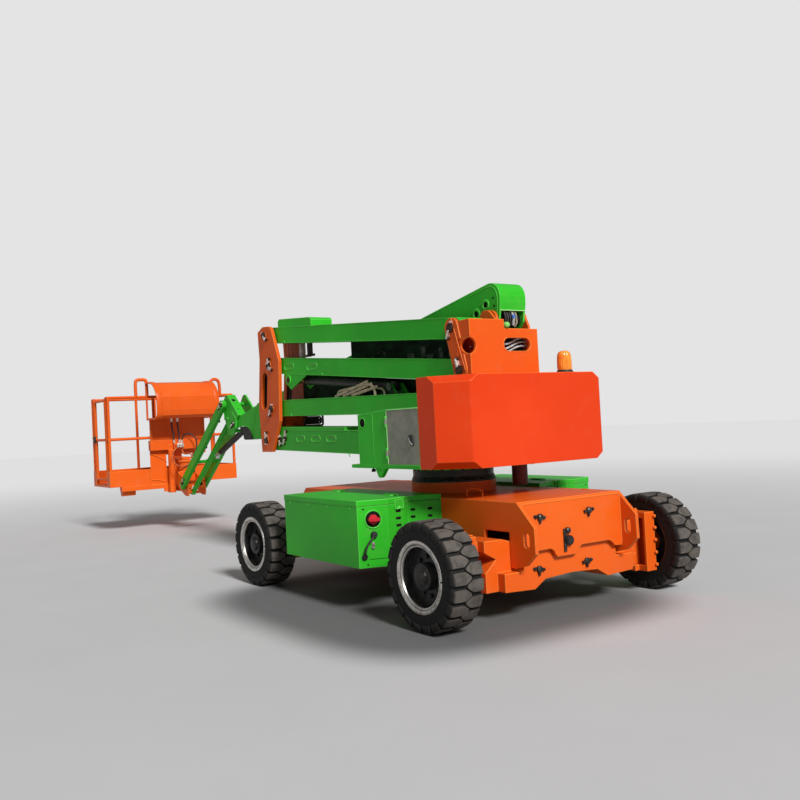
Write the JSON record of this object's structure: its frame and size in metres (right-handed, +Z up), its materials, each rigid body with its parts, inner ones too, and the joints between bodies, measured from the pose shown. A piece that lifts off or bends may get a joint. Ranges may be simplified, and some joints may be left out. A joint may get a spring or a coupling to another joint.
{
  "type": "articulating boom lift",
  "caption": "Self-propelled articulating boom lift with a parallelogram riser, telescopic boom, jib and a rotating work platform on a wheeled chassis.",
  "frame": {"origin": "on the ground, on the centre line of the chassis, at the middle of the overall length with the platform stowed low ahead", "axes": "+X from the steer axle and counterweight towards the drive axle and the stowed platform, +Y to the left of that direction, +Z up"},
  "size_m": [8.4919, 2.334, 2.44],
  "materials": {
    "orange_paint": "gloss orange enamel on welded steel plate",
    "green_paint": "gloss green enamel on welded steel plate",
    "counterweight_paint": "gloss orange enamel on a cast ballast",
    "black_steel": "black painted steel",
    "drive_red": "dark red gear motor paint",
    "rim_silver": "silver grey wheel paint",
    "tyre_rubber": "solid rubber",
    "rod_chrome": "hard chromed piston rod",
    "stainless": "brushed stainless sheet",
    "amber_lens": "amber moulded lens",
    "black_plastic": "black moulded plastic",
    "hose_rubber": "black hydraulic hose cover",
    "battery_case": "battery pack housing"
  },
  "bodies": {
    "chassis": {"chassis": "orange_paint", "steer_axle": "orange_paint", "drive_axle": "orange_paint", "side_box_left": "green_paint", "side_box_right": "green_paint", "battery_pack": "battery_case", "slew_ring": "black_steel", "isolator_cable": "hose_rubber"},
    "lid_left": {"box_lid_left": "green_paint"},
    "lid_right": {"box_lid_right": "green_paint"},
    "steer_knuckle_left": {"knuckle_left": "orange_paint"},
    "steer_knuckle_right": {"knuckle_right": "orange_paint"},
    "turntable": {"turntable": "green_paint", "counterweight": "counterweight_paint", "slew_drive": "drive_red", "beacon": "amber_lens"},
    "door_left": {"turntable_door_left": "stainless"},
    "door_right": {"turntable_door_right": "stainless"},
    "riser_1": {"riser_arm_1": "green_paint"},
    "riser_2": {"riser_arm_2": "green_paint", "hose_riser_1": "hose_rubber", "hose_riser_2": "hose_rubber"},
    "mid_link": {"mid_link": "orange_paint"},
    "riser_3": {"riser_arm_3": "green_paint"},
    "riser_4": {"riser_arm_4": "green_paint"},
    "bracket": {"boom_bracket": "orange_paint", "hose_bracket_1": "hose_rubber", "hose_bracket_2": "hose_rubber", "hose_bracket_3": "hose_rubber"},
    "main_boom": {"main_boom": "green_paint", "hose_boom_1": "hose_rubber", "hose_boom_2": "hose_rubber"},
    "fly_boom": {"fly_boom": "green_paint"},
    "knuckle": {"jib_knuckle": "green_paint"},
    "jib": {"jib_arms": "green_paint"},
    "jib_link": {"jib_link": "green_paint"},
    "support": {"platform_support": "orange_paint"},
    "platform": {"platform": "orange_paint", "platform_carrier": "orange_paint", "console": "black_plastic", "console_cover": "orange_paint", "hose_platform_1": "hose_rubber", "hose_platform_2": "hose_rubber", "hose_platform_3": "hose_rubber", "hose_platform_4": "hose_rubber"},
    "gate": {"platform_gate": "orange_paint"},
    "riser_barrel": {"riser_cylinder_barrel": "black_steel"},
    "riser_rod": {"riser_cylinder_rod": "rod_chrome"},
    "boom_barrel": {"boom_cylinder_barrel": "black_steel"},
    "boom_rod": {"boom_cylinder_rod": "rod_chrome"},
    "jib_barrel": {"jib_cylinder_barrel": "black_steel"},
    "jib_rod": {"jib_cylinder_rod": "rod_chrome"},
    "wheel_steer_left": {"tyre_steer_left": "tyre_rubber", "rim_steer_left": "rim_silver"},
    "wheel_steer_right": {"tyre_steer_right": "tyre_rubber", "rim_steer_right": "rim_silver"},
    "wheel_drive_left": {"tyre_drive_left": "tyre_rubber", "rim_drive_left": "rim_silver"},
    "wheel_drive_right": {"tyre_drive_right": "tyre_rubber", "rim_drive_right": "rim_silver"}
  },
  "joints": [
    {"name": "steer_left", "type": "hinge", "parent": "chassis", "child": "steer_knuckle_left", "pos_m": [-3.891, 0.8275, 0.355], "axis": [0, 0, 1], "range_deg": [-35, 35]},
    {"name": "steer_right", "type": "hinge", "parent": "chassis", "child": "steer_knuckle_right", "pos_m": [-3.891, -0.8275, 0.355], "axis": [0, 0, 1], "range_deg": [-35, 35]},
    {"name": "spin_steer_left", "type": "hinge", "parent": "steer_knuckle_left", "child": "wheel_steer_left", "pos_m": [-3.891, 1.0445, 0.355], "axis": [0, 1, 0], "continuous": true},
    {"name": "spin_steer_right", "type": "hinge", "parent": "steer_knuckle_right", "child": "wheel_steer_right", "pos_m": [-3.891, -1.0445, 0.355], "axis": [0, 1, 0], "continuous": true},
    {"name": "spin_drive_left", "type": "hinge", "parent": "chassis", "child": "wheel_drive_left", "pos_m": [-1.537, 1.0445, 0.355], "axis": [0, 1, 0], "continuous": true},
    {"name": "spin_drive_right", "type": "hinge", "parent": "chassis", "child": "wheel_drive_right", "pos_m": [-1.537, -1.0445, 0.355], "axis": [0, 1, 0], "continuous": true},
    {"name": "lid_left", "type": "hinge", "parent": "chassis", "child": "lid_left", "pos_m": [-2.714, 0.746, 0.811], "axis": [1, 0, 0], "range_deg": [0, 26]},
    {"name": "lid_right", "type": "hinge", "parent": "chassis", "child": "lid_right", "pos_m": [-2.714, -0.746, 0.811], "axis": [-1, 0, 0], "range_deg": [0, 26]},
    {"name": "slew", "type": "hinge", "parent": "chassis", "child": "turntable", "pos_m": [-2.864, 0, 0.9], "axis": [0, 0, 1], "continuous": true},
    {"name": "door_left", "type": "hinge", "parent": "turntable", "child": "door_left", "pos_m": [-3.093, 0.797, 1.2], "axis": [0, 0, -1], "range_deg": [0, 110]},
    {"name": "door_right", "type": "hinge", "parent": "turntable", "child": "door_right", "pos_m": [-3.093, -0.797, 1.2], "axis": [0, 0, 1], "range_deg": [0, 110]},
    {"name": "riser", "type": "hinge", "parent": "turntable", "child": "riser_1", "pos_m": [-3.184, 0.16, 1.15], "axis": [0, -1, 0], "range_deg": [0, 60]},
    {"name": "riser_link_2", "type": "hinge", "parent": "turntable", "child": "riser_2", "pos_m": [-3.324, 0.16, 1.47], "axis": [0, -1, 0], "range_deg": [-1, 61]},
    {"name": "mid_link", "type": "hinge", "parent": "riser_1", "child": "mid_link", "pos_m": [-0.284, 0.16, 1.222], "axis": [0, -1, 0], "range_deg": [-61, 1]},
    {"name": "riser_link_3", "type": "hinge", "parent": "mid_link", "child": "riser_3", "pos_m": [-0.414, 0.16, 1.982], "axis": [0, 1, 0], "range_deg": [-1, 61]},
    {"name": "riser_link_4", "type": "hinge", "parent": "mid_link", "child": "riser_4", "pos_m": [-0.334, 0.16, 2.302], "axis": [0, 1, 0], "range_deg": [-1, 61]},
    {"name": "bracket_level", "type": "hinge", "parent": "riser_3", "child": "bracket", "pos_m": [-3.394, 0.16, 1.7], "axis": [0, 1, 0], "range_deg": [-61, 1]},
    {"name": "riser_cylinder_swing", "type": "hinge", "parent": "riser_2", "child": "riser_barrel", "pos_m": [-2.364, 0.16, 1.645], "axis": [0, -1, 0], "range_deg": [-1, 10]},
    {"name": "riser_cylinder_stroke", "type": "slide", "parent": "riser_barrel", "child": "riser_rod", "axis": [0.9946, 0, 0.1039], "range_m": [-0.01, 0.689]},
    {"name": "boom_lift", "type": "hinge", "parent": "bracket", "child": "main_boom", "pos_m": [-3.379, -0.17, 2.08], "axis": [0, -1, 0], "range_deg": [0, 78]},
    {"name": "boom_cylinder_swing", "type": "hinge", "parent": "bracket", "child": "boom_barrel", "pos_m": [-3.274, -0.17, 1.64], "axis": [0, -1, 0], "range_deg": [-1, 69]},
    {"name": "boom_cylinder_stroke", "type": "slide", "parent": "boom_barrel", "child": "boom_rod", "axis": [0.9881, 0, 0.1539], "range_m": [-0.01, 0.527]},
    {"name": "fly_extend", "type": "slide", "parent": "main_boom", "child": "fly_boom", "axis": [0.9833, 0, -0.1822], "range_m": [0, 1.8]},
    {"name": "jib_level", "type": "hinge", "parent": "fly_boom", "child": "knuckle", "pos_m": [1.3, -0.17, 1.412], "axis": [0, -1, 0], "range_deg": [-79, 1]},
    {"name": "jib_lift", "type": "hinge", "parent": "knuckle", "child": "jib", "pos_m": [1.506, -0.17, 1.66], "axis": [0, -1, 0], "range_deg": [-23, 90]},
    {"name": "jib_link", "type": "hinge", "parent": "knuckle", "child": "jib_link", "pos_m": [1.496, -0.17, 1.52], "axis": [0, -1, 0], "range_deg": [-24, 91]},
    {"name": "platform_level", "type": "hinge", "parent": "jib", "child": "support", "pos_m": [2.886, -0.17, 0.66], "axis": [0, -1, 0], "range_deg": [-91, 24]},
    {"name": "jib_cylinder_swing", "type": "hinge", "parent": "knuckle", "child": "jib_barrel", "pos_m": [1.416, -0.235, 1.33], "axis": [0, -1, 0], "range_deg": [-21, 79]},
    {"name": "jib_cylinder_stroke", "type": "slide", "parent": "jib_barrel", "child": "jib_rod", "axis": [0.9359, 0, -0.3523], "range_m": [-0.116, 0.426]},
    {"name": "platform_rotate", "type": "hinge", "parent": "support", "child": "platform", "pos_m": [3.216, -0.17, 0.76], "axis": [0, 0, 1], "range_deg": [-85, 85]},
    {"name": "gate", "type": "hinge", "parent": "platform", "child": "gate", "pos_m": [3.636, 0.81, 1.2], "axis": [0, 0, -1], "range_deg": [0, 85]}
  ],
  "couplings": [
    {"joint": "steer_right", "follows": "steer_left", "ratio": 1},
    {"joint": "riser_link_2", "follows": "riser", "ratio": 1},
    {"joint": "mid_link", "follows": "riser", "ratio": -1},
    {"joint": "riser_link_3", "follows": "riser", "ratio": 1},
    {"joint": "riser_link_4", "follows": "riser", "ratio": 1},
    {"joint": "bracket_level", "follows": "riser", "ratio": -1},
    {"joint": "riser_cylinder_swing", "follows": "riser", "ratio": 0.14},
    {"joint": "riser_cylinder_stroke", "follows": "riser", "m_per_rad": 0.648},
    {"joint": "boom_cylinder_swing", "follows": "boom_lift", "ratio": 0.86},
    {"joint": "boom_cylinder_stroke", "follows": "boom_lift", "m_per_rad": 0.38},
    {"joint": "jib_level", "follows": "boom_lift", "ratio": -1},
    {"joint": "jib_link", "follows": "jib_lift", "ratio": 1},
    {"joint": "platform_level", "follows": "jib_lift", "ratio": -1},
    {"joint": "jib_cylinder_swing", "follows": "jib_lift", "ratio": 0.86},
    {"joint": "jib_cylinder_stroke", "follows": "jib_lift", "m_per_rad": 0.265}
  ]
}
